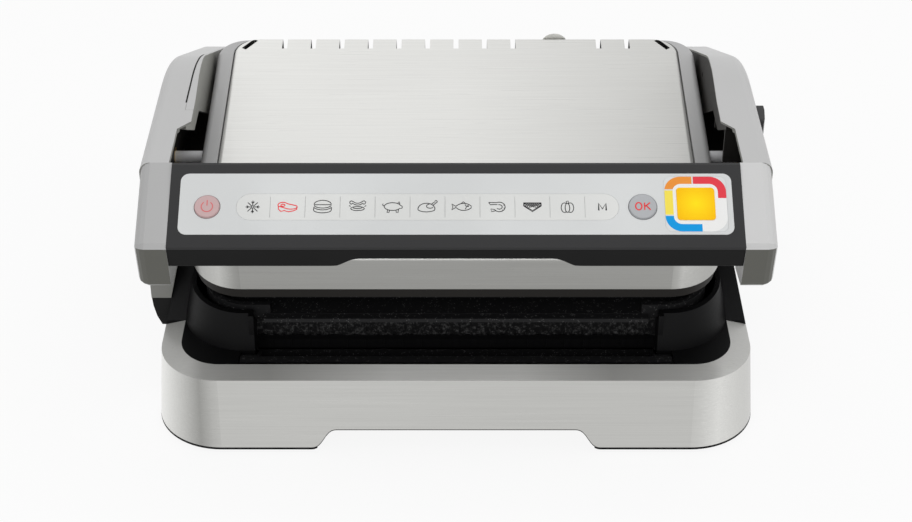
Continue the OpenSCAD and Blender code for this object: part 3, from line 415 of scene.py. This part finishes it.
# %% [markdown]
# ## The panel's own frame
#
# Keys, symbols and the indicator all lie on one sloping face. Its origin is the lower edge of
# the panel, `u` runs to the right, `v` runs up the slope and `n` stands out of the face. The
# slope is 30 degrees, and the CAD boxes of the key strip and the ring give the places.


# %% Panel frame
MM = 0.001
SLOPE = math.radians(30)
UP = Vector((0, math.cos(SLOPE), math.sin(SLOPE)))
OUT = Vector((0, -math.sin(SLOPE), math.cos(SLOPE)))


def middle(node):
    low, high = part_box(node)
    return [(a + b) / 2 for a, b in zip(low, high)]


strip_at, ring_at = Vector(middle("key_strip")), Vector(middle("indicator_ring"))
FACE = Vector((0, -0.165, 0.1558))  # the middle of the panel's lower edge
ROW_V = (strip_at - FACE).dot(UP)
RING_V = (ring_at - FACE).dot(UP)
print("row at", round(ROW_V / MM, 2), "ring at", round(RING_V / MM, 2), "mm up the slope")


def on_panel(u, v, n=0.0):
    return FACE + Vector((u, 0, 0)) + UP * v + OUT * n


def panel_axes(f):
    """u and v of the panel inside a material, from Object coordinates."""
    x, y, z = f.axes()
    return x, y * UP.y + z * UP.z - FACE.dot(UP)


# %% [markdown]
# ## The doneness ring and its lit window
#
# The indicator is a square ring printed in four colours round a lit yellow window. The CAD
# gives the ring as one flat inlay, so the colours are printed by a material: each segment is a
# product of comparisons on `u` and `v`, and the rounded band is the distance to a small square.


# %% Indicator materials
ORANGE, RED, YELLOW, BLUE = (243, 152, 62), (233, 66, 78), (253, 232, 92), (16, 158, 232)
PANEL_TONE, PAPER = rgb(224, 226, 226), rgb(244, 244, 243)
CORE = 0.0082  # metres: half the side of the small square
BAND = (0.0049, 0.0097)  # distances from that square between which the colours lie
ORANGE_LOW = 0.0096  # where a colour ends, in metres from the middle of the ring
ORANGE_RED, GAP = -0.0014, 0.0004
RED_LOW = 0.0038
YELLOW_V = (-0.0070, 0.0088)
BLUE_RIGHT, BLUE_TOP = 0.0030, -0.0078
GLOW_RADIUS = 0.014


def printed_ring():
    f = Finish("doneness_ring")
    u, v = panel_axes(f)
    u, v = u - ring_at.x, v - RING_V
    out = ((abs(u) - CORE).over(0.0) ** 2.0 + (abs(v) - CORE).over(0.0) ** 2.0) ** 0.5
    band = (out > BAND[0]) * (out < BAND[1])
    left, top = u < -CORE, v > ORANGE_LOW
    bare_corner = (u > 0.0) * (v < RED_LOW)
    color = f.mix((out < BAND[1]) * ((out < BAND[0]) + bare_corner).under(1.0),
                  PANEL_TONE, PAPER)
    for mask, tone in ((top * (u < ORANGE_RED - GAP), ORANGE),
                       (left * top, ORANGE),
                       ((u > ORANGE_RED + GAP) * (v > CORE), RED),
                       ((u > CORE) * (v > RED_LOW), RED),
                       (left * (v < YELLOW_V[1]) * (v > YELLOW_V[0]), YELLOW),
                       ((v < -CORE) * (u < BLUE_RIGHT), BLUE),
                       (left * (v < BLUE_TOP), BLUE)):
        color = f.mix(mask * band, color, rgb(*tone))
    return f.surface(color, f.ramp(f.noise(300.0), *GRAINY, 0.42, 0.48), 0.0, 0.12)


def lit_window():
    f = Finish("lit_window")
    u, v = panel_axes(f)
    u, v = u - ring_at.x, v - RING_V
    away = f.ramp((u ** 2.0 + v ** 2.0) ** 0.5, 0.0, GLOW_RADIUS)
    color = f.mix(away, rgb(255, 222, 20), rgb(246, 186, 0))
    return f.surface(color, 0.4, 0.0, 0.12, Emission_Color=color, Emission_Strength=0.12)


ring_print = printed_ring()
window_yellow = lit_window()
print("indicator ready")

# %% [markdown]
# ## Finishes on the CAD nodes
#
# Every CAD node keeps its mesh and gets its finish by name, so a missing name stops the script.

# %% Finishes by node
BY_NODE = {
    skirt_steel: "base_skirt",
    lid_steel: "head_cover",
    dome_steel: "rear_dome",
    arm_grey: "arm_shell_left arm_shell_right arm_cover_left side_foot_bracket",
    rim_grey: "head_rim_left head_rim_right",
    cap_grey: "end_cap_left end_cap_right",
    panel_white: "control_panel",
    strip_white: "key_strip",
    ok_grey: "ok_button",
    power_pink: "power_button",
    charcoal: "handle_shell release_button",
    grip_black: "handle_grip",
    black: "base_tub base_top bottom_cover cord_gland hinge_bracket_left hinge_bracket_right",
    frame_black: "arm_frame_left arm_frame_right head_frame",
    coating: "lower_plate upper_plate drip_tray",
    rubber: "feet side_foot_pad",
    chrome: "hinge_pin_left hinge_pin_right",
    rod_painted_gleam: "rod_left rod_right",
    brass: "hinge_bush_left hinge_bush_right rod_bush_left rod_bush_right",
    bare: "bottom_screws bracket_screws head_screws lower_plate_clips upper_plate_clips "
          "lower_reflector upper_reflector lower_probe upper_probe",
    sheath: "lower_heater upper_heater",
    green: "power_board control_board",
    ring_print: "indicator_ring",
    window_yellow: "indicator_lens",
}
for material, names in BY_NODE.items():
    for name in names.split():
        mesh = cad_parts[name].data
        mesh.materials.clear()
        mesh.materials.append(material)
count = sum(len(names.split()) for names in BY_NODE.values())
print(count, "of", len(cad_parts), "nodes finished")

# %% [markdown]
# ## Printed symbols
#
# Eleven keys each carry one line drawing. The drawings are this lesson's own, generic pictures
# of food, written as short paths in millimetres. A path becomes a thin raised ribbon, as screen
# ink is on the real panel. Drawing them as mesh keeps them crisp from any distance, and one
# object for all dark symbols keeps the model light.


# %% Ribbons of ink
INK_TOP, INK_FOOT = 0.07, 0.01  # mm above the face


def arc(cx, cy, rx, ry, start, end, steps=14):
    """Points of an elliptic arc between two angles in degrees."""
    turns = [math.radians(start + (end - start) * i / steps) for i in range(steps + 1)]
    return [(cx + rx * math.cos(a), cy + ry * math.sin(a)) for a in turns]


def strip(bm, rows, closed=False):
    """Joins rows of four corners into one solid strip."""
    for a, b in zip(rows, rows[1:] + rows[:1] if closed else rows[1:]):
        for k in range(4):
            j = (k + 1) % 4
            bm.faces.new([a[j], a[k], b[k], b[j]])
    if not closed:
        bm.faces.new(rows[0])
        bm.faces.new(rows[-1][::-1])


def ribbon(bm, path, width, place):
    """A thin strip of ink along a flat path, laid on the panel by place(u, v, n)."""
    closed = math.dist(path[0], path[-1]) < 1e-6
    points = path[:-1] if closed else path
    n = len(points)
    rows = []
    for i, (x, y) in enumerate(points):
        before = points[i - 1] if closed or i > 0 else points[i]
        after = points[(i + 1) % n] if closed or i < n - 1 else points[i]
        along = Vector((after[0] - before[0], after[1] - before[1]))
        along.normalize()
        side = Vector((-along.y, along.x)) * width / 2
        rows.append([bm.verts.new(place(x + s * side.x, y + s * side.y, h))
                     for s, h in ((-1, INK_TOP), (1, INK_TOP), (1, INK_FOOT), (-1, INK_FOOT))])
    strip(bm, rows, closed)


def riding(name, bm, finish, body):
    """One object from a bmesh, with its normals outward, that rides on a body."""
    bmesh.ops.recalc_face_normals(bm, faces=bm.faces)
    mesh = bpy.data.meshes.new(name)
    bm.to_mesh(mesh)
    bm.free()
    mesh.materials.append(finish)
    piece = added(name, mesh)
    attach(piece, body)


def inked(name, strokes, body, finish, width, size=1.0, lift=0.0):
    """One object from many strokes, each a path with the (u, v) of its drawing in mm."""
    bm = bmesh.new()
    for (u, v), path in strokes:
        ribbon(bm, [(size * x, size * y) for x, y in path], width,
               lambda x, y, n: on_panel((u + x) * MM, (v + y) * MM, (lift + n) * MM))
    riding(name, bm, finish, body)


print("ink is", INK_TOP, "mm high")


# %% Food drawings, in millimetres round the middle of a key
def snowflake():
    lines = []
    for a in range(0, 360, 45):
        c, s = math.cos(math.radians(a)), math.sin(math.radians(a))
        lines.append([(0.4 * c, 0.4 * s), (3.4 * c, 3.4 * s)])
        if a % 90 == 0:
            tip = Vector((2.0 * c, 2.0 * s))
            for turn in (40, -40):
                b = math.radians(a + turn)
                lines.append([tuple(tip),
                              (tip.x + 1.1 * math.cos(b), tip.y + 1.1 * math.sin(b))])
    return lines


def steak():
    top = arc(-2.3, 1.0, 2.4, 1.5, 30, 200) + arc(1.6, 0.0, 3.0, 1.2, 230, 400)
    side = [(-4.5, 0.4), (-4.4, -1.2), (-3.2, -2.4), (-1.6, -2.0), (0.5, -2.6), (2.6, -2.2),
            (4.4, -1.4), (4.5, -0.2)]
    return [top + [top[0]], side, arc(-2.3, 0.9, 1.0, 0.6, 0, 360)]


def burger():
    dome = arc(0, 1.2, 4.2, 2.4, 0, 180)
    return [dome + [dome[0]], arc(0, 1.4, 4.4, 2.0, 200, 340), arc(0, 0.4, 4.4, 2.0, 200, 340),
            [(-4.2, 0.0), (-4.3, -1.6)] + arc(0, -1.8, 4.2, 1.4, 180, 360) + [(4.3, -0.2)]]


def sausages():
    upper = arc(0, 4.4, 3.4, 3.4, 225, 315) + arc(2.9, 2.4, 0.9, 0.9, 270, 450) \
        + arc(0, 5.0, 2.9, 3.0, 310, 230) + arc(-2.9, 2.4, 0.9, 0.9, 90, 270)
    lower = arc(0, -0.9, 3.3, 1.1, 0, 360)
    return [upper + [upper[0]], lower, arc(0, -0.2, 2.3, 0.7, 200, 340),
            [(-3.4, 0.2), (-4.1, 0.8)], [(3.4, 0.2), (4.1, 0.8)]]


def pig():
    body = arc(0.0, 0.2, 4.0, 2.1, 20, 335, 22)
    snout = [(3.7, 0.9), (4.6, 0.4), (4.7, -0.6), (3.8, -0.8)]
    ear = [(2.5, 1.9), (3.1, 2.9), (3.5, 1.5)]
    tail = [(-4.0, 0.4), (-4.8, 1.0), (-4.6, 1.7)]
    rear_leg = [(-2.4, -1.6), (-2.6, -3.0), (-1.7, -3.0), (-1.5, -1.9)]
    front_leg = [(1.7, -1.8), (1.8, -3.0), (2.7, -3.0), (2.8, -1.4)]
    return [body, snout, ear, tail, rear_leg, front_leg]


def roast():
    body = arc(-0.5, -1.2, 4.1, 3.2, 0, 180)
    return [body, arc(-0.5, -1.2, 4.1, 1.5, 180, 360), arc(1.2, 0.4, 1.7, 1.1, 100, 330),
            [(1.8, 1.4), (3.6, 2.9)], [(2.7, 0.9), (4.3, 2.4)], arc(4.1, 2.9, 0.55, 0.55, -90, 150)]


def fish():
    back, belly = arc(0.6, -2.0, 4.6, 3.9, 35, 145), arc(0.6, 2.0, 4.6, 3.9, -35, -145)
    return [back, belly, [(-3.1, 0.25), (-5.2, 1.6), (-4.6, 0.0), (-5.2, -1.6), (-3.1, -0.25)],
            arc(2.6, 0.4, 0.3, 0.3, 0, 360, 8), arc(0.6, 0.0, 1.2, 1.4, -60, 60),
            [(-0.6, 1.9), (0.4, 2.8), (1.4, 1.9)]]


def shrimp():
    return [arc(0.9, 0.0, 2.8, 2.6, 120, -150, 20), arc(0.9, 0.0, 1.4, 1.2, 110, -140, 14),
            [(-0.5, 2.3), (-4.2, 2.4)], [(0.0, 1.3), (-3.4, 1.2), (-4.2, 2.4)],
            [(-1.4, -1.4), (-3.2, -1.1), (-2.8, -2.6), (-0.6, -2.0)],
            [(2.9, 0.9), (3.6, 1.2)], [(3.0, -0.6), (3.6, -0.6)], [(2.3, -1.6), (2.8, -2.0)]]


def grilled_slice():
    rim = [(-4.3, 2.2), (4.3, 2.2), (4.3, 0.6), (0.0, -2.6), (-4.3, 0.6), (-4.3, 2.2)]
    bars = []
    for k in range(-4, 5):
        a, b = (k * 1.0, 2.2), (k * 1.0 + 1.9, 0.3 - max(0.0, 1.0 - abs(k) * 0.4))
        bars.append([a, b] if b[0] < 4.2 else [a, (4.2, 1.2)])
        bars.append([(-a[0], a[1]), (-b[0], b[1])] if b[0] < 4.2 else [(-a[0], 2.2), (-4.2, 1.2)])
    return [rim, [(-4.3, 1.0), (0.0, -2.0), (4.3, 1.0)]] + bars


def pepper():
    return [arc(-1.4, -0.4, 1.6, 2.6, 60, 300), arc(1.4, -0.4, 1.6, 2.6, -120, 120),
            arc(0, -0.5, 1.1, 2.5, 0, 360), [(-0.4, 1.9), (-0.5, 2.9), (0.4, 3.3), (0.5, 1.9)]]


def letter_m():
    return [[(-1.9, -2.0), (-1.9, 2.0), (0.0, -1.1), (1.9, 2.0), (1.9, -2.0)]]


print("a pig takes", len(pig()), "strokes")


# %% Symbols on the keys
DRAWINGS = [snowflake, steak, burger, sausages, pig, roast, fish, shrimp, grilled_slice, pepper,
            letter_m]
KEYS = len(DRAWINGS)
KEY_PITCH = 20.2
row_u, row_v = strip_at.x / MM, ROW_V / MM


def key_strokes(wanted):
    """The strokes of the wanted drawings, each with the middle of its key."""
    return [((row_u + (i - (KEYS - 1) / 2) * KEY_PITCH, row_v), path)
            for i, drawing in enumerate(DRAWINGS) if drawing in wanted for path in drawing()]


ink = plain_plastic("dark_ink", (44, 44, 46), 0.5, 0.0, 0.05)
red_ink = plain_plastic("lit_red_ink", (244, 70, 74), 0.5, 0.0, 0.05)
foods = [drawing for drawing in DRAWINGS if drawing not in (steak, letter_m)]
inked("key_symbols", key_strokes(foods), "arms", ink, 0.46, 1.2)
inked("key_letter", key_strokes([letter_m]), "arms", ink, 0.85, 1.12)
inked("key_symbol_lit", key_strokes([steak]), "arms", red_ink, 0.55, 1.2)
print(len(key_strokes(DRAWINGS)), "strokes on the keys")

# %% [markdown]
# ## Marks on the two buttons
#
# The power mark and the letters OK ride on their buttons, so they sink with them when pressed.
# They stand on the button's crown, 0.8 mm above the panel.


# %% Button marks
CROWN = 0.8  # mm


def button_mark(name, node, body, strokes, finish, width):
    at = Vector(middle(node))
    u, v = at.x / MM, (at - FACE).dot(UP) / MM
    inked(name, [((u, v), path) for path in strokes], body, finish, width, lift=CROWN)


power_red = plain_plastic("power_mark_red", (224, 112, 114), 0.4)
ok_red = plain_plastic("ok_red", (233, 62, 66), 0.4)
button_mark("power_mark", "power_button", "power_button_body",
            [arc(0, -0.2, 3.3, 3.3, 125, 415, 26), [(0, 0.4), (0, 4.0)]], power_red, 0.6)
button_mark("ok_mark", "ok_button", "ok_button_body",
            [arc(-2.4, 0, 1.8, 2.35, 0, 360, 22), [(1.0, 2.35), (1.0, -2.35)],
             [(4.2, 2.35), (1.3, -0.1)], [(1.9, 0.5), (4.4, -2.35)]], ok_red, 0.8)
print("button marks ready")

# %% [markdown]
# ## Seam of the left arm's cover
#
# The left arm has a clip-on cover, and its seam shows as a fine black line along the crown and
# down the fall. The line has to lie on a curved surface, so rays are cast straight down onto the
# arm's own mesh and a narrow strip is laid through the places where they land.


# %% Black seam strip
def surface_of(node):
    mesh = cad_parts[node].data
    return BVHTree.FromPolygons([v.co for v in mesh.vertices],
                                [p.vertices for p in mesh.polygons])


def laid_strip(name, points, half, height, body, finish):
    """A narrow strip along points, with its top kept inside the CAD box."""
    bm, rows = bmesh.new(), []
    for p in points:
        low = min(p.z, CAD_HIGH[2] - height)
        rows.append([bm.verts.new((p.x + s * half, p.y, low + h))
                     for s, h in ((-1, height), (1, height), (1, 0.0), (-1, 0.0))])
    strip(bm, rows)
    riding(name, bm, finish, body)


SEAM_X, SEAM_START = -0.1662, -0.045  # metres, in X and Y
SEAM_STEP, SEAM_RAYS = 0.002, 46
SEAM_LIFT = Vector((0, 0, 0.00002))
RAYS_FROM, DOWN = 0.3, Vector((0, 0, -1))
arm_tree = surface_of("arm_shell_left")
landed = []
for i in range(SEAM_RAYS):
    start = Vector((SEAM_X, SEAM_START + SEAM_STEP * i, RAYS_FROM))
    hit = arm_tree.ray_cast(start, DOWN)[0]
    if hit:
        landed.append(hit + SEAM_LIFT)
seam_black = plain_plastic("seam_black", (14, 14, 14), 0.6, 0.0, 0.05)
laid_strip("arm_seam_left", landed, 0.0004, 0.00008, "arms", seam_black)
print("seam laid on", len(landed), "points from", [round(c, 4) for c in landed[0]])

# %% [markdown]
# ## Repeats by Geometry Nodes
#
# The ten lines between the keys and the four screws of the feet are the same small shape over
# and over, so a node tree places them: it makes the shape once, sets a copy on every point and
# turns the copies into real mesh. A small class fills geometry trees as `Graph` fills shaders.


# %% Geometry trees
class Repeat(Graph):
    """A geometry tree with named number inputs that ends in Realize and Set Material."""

    def __init__(self, name, numbers):
        self.tree = bpy.data.node_groups.new(name, "GeometryNodeTree")
        super().__init__(self.tree)
        face = self.tree.interface
        face.new_socket("Geometry", in_out="INPUT", socket_type="NodeSocketGeometry")
        self.numbers = numbers
        self.sockets = {key: face.new_socket(key, in_out="INPUT", socket_type="NodeSocketFloat")
                        for key in numbers}
        face.new_socket("Geometry", in_out="OUTPUT", socket_type="NodeSocketGeometry")
        outs = self.node("NodeGroupInput")
        self.base = outs[0]
        self.size = dict(zip(numbers, outs[1:]))

    def vector(self, x=0.0, y=0.0, z=0.0):
        return self.node("ShaderNodeCombineXYZ", {}, {0: x, 1: y, 2: z})[0]

    def finish(self, geometry, finish):
        real = self.node("GeometryNodeRealizeInstances", {}, {0: geometry})[0]
        dressed = self.node("GeometryNodeSetMaterial", {}, {"Geometry": real,
                                                           "Material": finish})[0]
        self.node("NodeGroupOutput", {}, {0: dressed})

    def made(self, name, points, body, place=None):
        """Runs the tree on points and returns its result as one plain mesh object."""
        seed = bpy.data.meshes.new(name + "_points")
        seed.from_pydata(points, [], [])
        holder = added(name + "_points", seed)
        modifier = holder.modifiers.new("repeat", "NODES")
        modifier.node_group = self.tree
        for key, socket in self.sockets.items():
            modifier[socket.identifier] = self.numbers[key]
        view = bpy.context.evaluated_depsgraph_get()
        mesh = bpy.data.meshes.new_from_object(holder.evaluated_get(view))
        bpy.data.objects.remove(holder)
        if place:
            for v in mesh.vertices:
                v.co = place(*v.co)
        mesh.name = name
        piece = added(name, mesh)
        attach(piece, body)
        return piece


print("geometry trees ready")


# %% Lines between the keys
divider_grey = plain_plastic("divider_grey", (196, 198, 196), 0.5, 0.0, 0.1)
lines = Repeat("key_lines", {"Length": 0.0132, "Radius": 0.00011})
bar = lines.node("GeometryNodeCurvePrimitiveLine", {}, {
    "Start": lines.vector(y=lines.size["Length"] * -0.5),
    "End": lines.vector(y=lines.size["Length"] * 0.5)})[0]
section = lines.node("GeometryNodeCurvePrimitiveCircle", {}, {"Resolution": 8,
                                                             "Radius": lines.size["Radius"]})[0]
rod = lines.node("GeometryNodeCurveToMesh", {}, {"Curve": bar, "Profile Curve": section,
                                                "Fill Caps": True})[0]
lines.finish(lines.node("GeometryNodeInstanceOnPoints", {}, {"Points": lines.base,
                                                             "Instance": rod})[0], divider_grey)
between = [((row_u + (i - KEYS / 2) * KEY_PITCH) * MM, ROW_V, -0.00006)
           for i in range(1, KEYS)]
made = lines.made("key_lines", between, "arms", on_panel)
print(len(between), "lines,", len(made.data.polygons), "faces")

# %% Screws of the feet
HEAD_RADIUS = 0.0036
screws = Repeat("foot_screws", {"Radius": HEAD_RADIUS, "Height": 0.001, "Slot": 0.0009,
                                "Slot length": 0.0042})
radius, height, slot, length = screws.size.values()
head = screws.node("GeometryNodeMeshCylinder", {}, {"Vertices": 40, "Radius": radius,
                                                    "Depth": height})[0]
recess = []
for across, along in ((length, slot), (slot, length)):
    bar = screws.node("GeometryNodeMeshCube", {},
                      {"Size": screws.vector(across, along, height)})[0]
    recess.append(screws.node("GeometryNodeTransform", {}, {
        "Geometry": bar, "Translation": screws.vector(z=height * -0.5)})[0])
cross = screws.node("GeometryNodeJoinGeometry", {}, {0: recess})[0]
cut = screws.node("GeometryNodeMeshBoolean", {"operation": "DIFFERENCE"},
                  {"Mesh 1": head, "Mesh 2": cross})[0]
screws.finish(screws.node("GeometryNodeInstanceOnPoints", {}, {"Points": screws.base,
                                                               "Instance": cut})[0], bare)
(x0, y0, z0), (x1, y1, z1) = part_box("bottom_screws")
corners = [(x, y, (z0 + z1) / 2) for x in (x0 + HEAD_RADIUS, x1 - HEAD_RADIUS)
           for y in (y0 + HEAD_RADIUS, y1 - HEAD_RADIUS)]
made = screws.made("foot_screws", corners, "base")
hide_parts("bottom_screws")
print(len(corners), "screws,", len(made.data.polygons), "faces")

# %% [markdown]
# ## Floor and light
#
# The photograph is a studio shot on white. The floor is a pale diffuse plane that keeps the
# object's soft shadow. What the camera, the steel and the window see of it is lifted towards
# white, so that the background reads white while the lamps stay at a level where a colour
# renders as written.


# %% Floor and world
CAMERA_RAY, GLOSSY_RAY, TRANSMISSION_RAY = 0, 3, 6  # outputs of the Light Path node
FLOOR_REACH = 6.0
FLOOR_LIFT = 0.9
ROOM_LIGHT, SEEN_WHITE = 0.47, 1.0


def seen_rays(g):
    """1 for a ray of the camera or of a mirror or window in its view, else 0."""
    path = g.node("ShaderNodeLightPath")
    return (path[CAMERA_RAY] + path[GLOSSY_RAY] + path[TRANSMISSION_RAY]).under(1.0)


def pale_floor():
    f = Finish("studio_floor")
    diffuse = f.node("ShaderNodeBsdfDiffuse", {}, {"Color": rgb(240, 240, 240)})[0]
    glow = f.node("ShaderNodeEmission", {}, {"Strength": SEEN_WHITE})[0]
    mixed = f.node("ShaderNodeMixShader", {}, {0: seen_rays(f) * FLOOR_LIFT, 1: diffuse,
                                                 2: glow})[0]
    f.node("ShaderNodeOutputMaterial", {}, {"Surface": mixed})
    return f.material


def background(g, strength):
    return g.node("ShaderNodeBackground", {}, {"Color": (1, 1, 1, 1), "Strength": strength})[0]


R = FLOOR_REACH
floor_mesh = bpy.data.meshes.new("floor")
floor_mesh.from_pydata([(-R, -R, 0), (R, -R, 0), (R, R, 0), (-R, R, 0)], [], [(0, 1, 2, 3)])
floor = added("floor", floor_mesh)
floor_mesh.materials.append(pale_floor())

world = bpy.data.worlds.new("studio")
bpy.context.scene.world = world
world.use_nodes = True
sky = Graph(world.node_tree)
mixed = sky.node("ShaderNodeMixShader", {}, {
    0: seen_rays(sky), 1: background(sky, ROOM_LIGHT), 2: background(sky, SEEN_WHITE)})[0]
sky.node("ShaderNodeOutputWorld", {}, {0: mixed})
print("floor and world ready")


# %% Lamps
def lamp(name, at, aim, size, power):
    """A rectangular lamp of this size in metres and power in watts, turned to aim."""
    light = bpy.data.lights.new(name, "AREA")
    light.shape = "RECTANGLE"
    light.size, light.size_y = size
    light.energy = power
    holder = added(name, light)
    holder.location = at
    holder.rotation_euler = (Vector(aim) - Vector(at)).to_track_quat("-Z", "Y").to_euler()


lamp("overhead", (0.0, 0.35, 1.5), (0, 0, 0.1), (1.6, 1.0), 8)
lamp("front", (-0.4, -1.6, 1.0), (0, 0, 0.08), (1.4, 0.8), 7)
lamp("right", (1.4, -0.3, 0.9), (0, 0, 0.1), (0.6, 1.0), 3)
bpy.context.scene.view_settings.view_transform = "Standard"
print("studio ready")
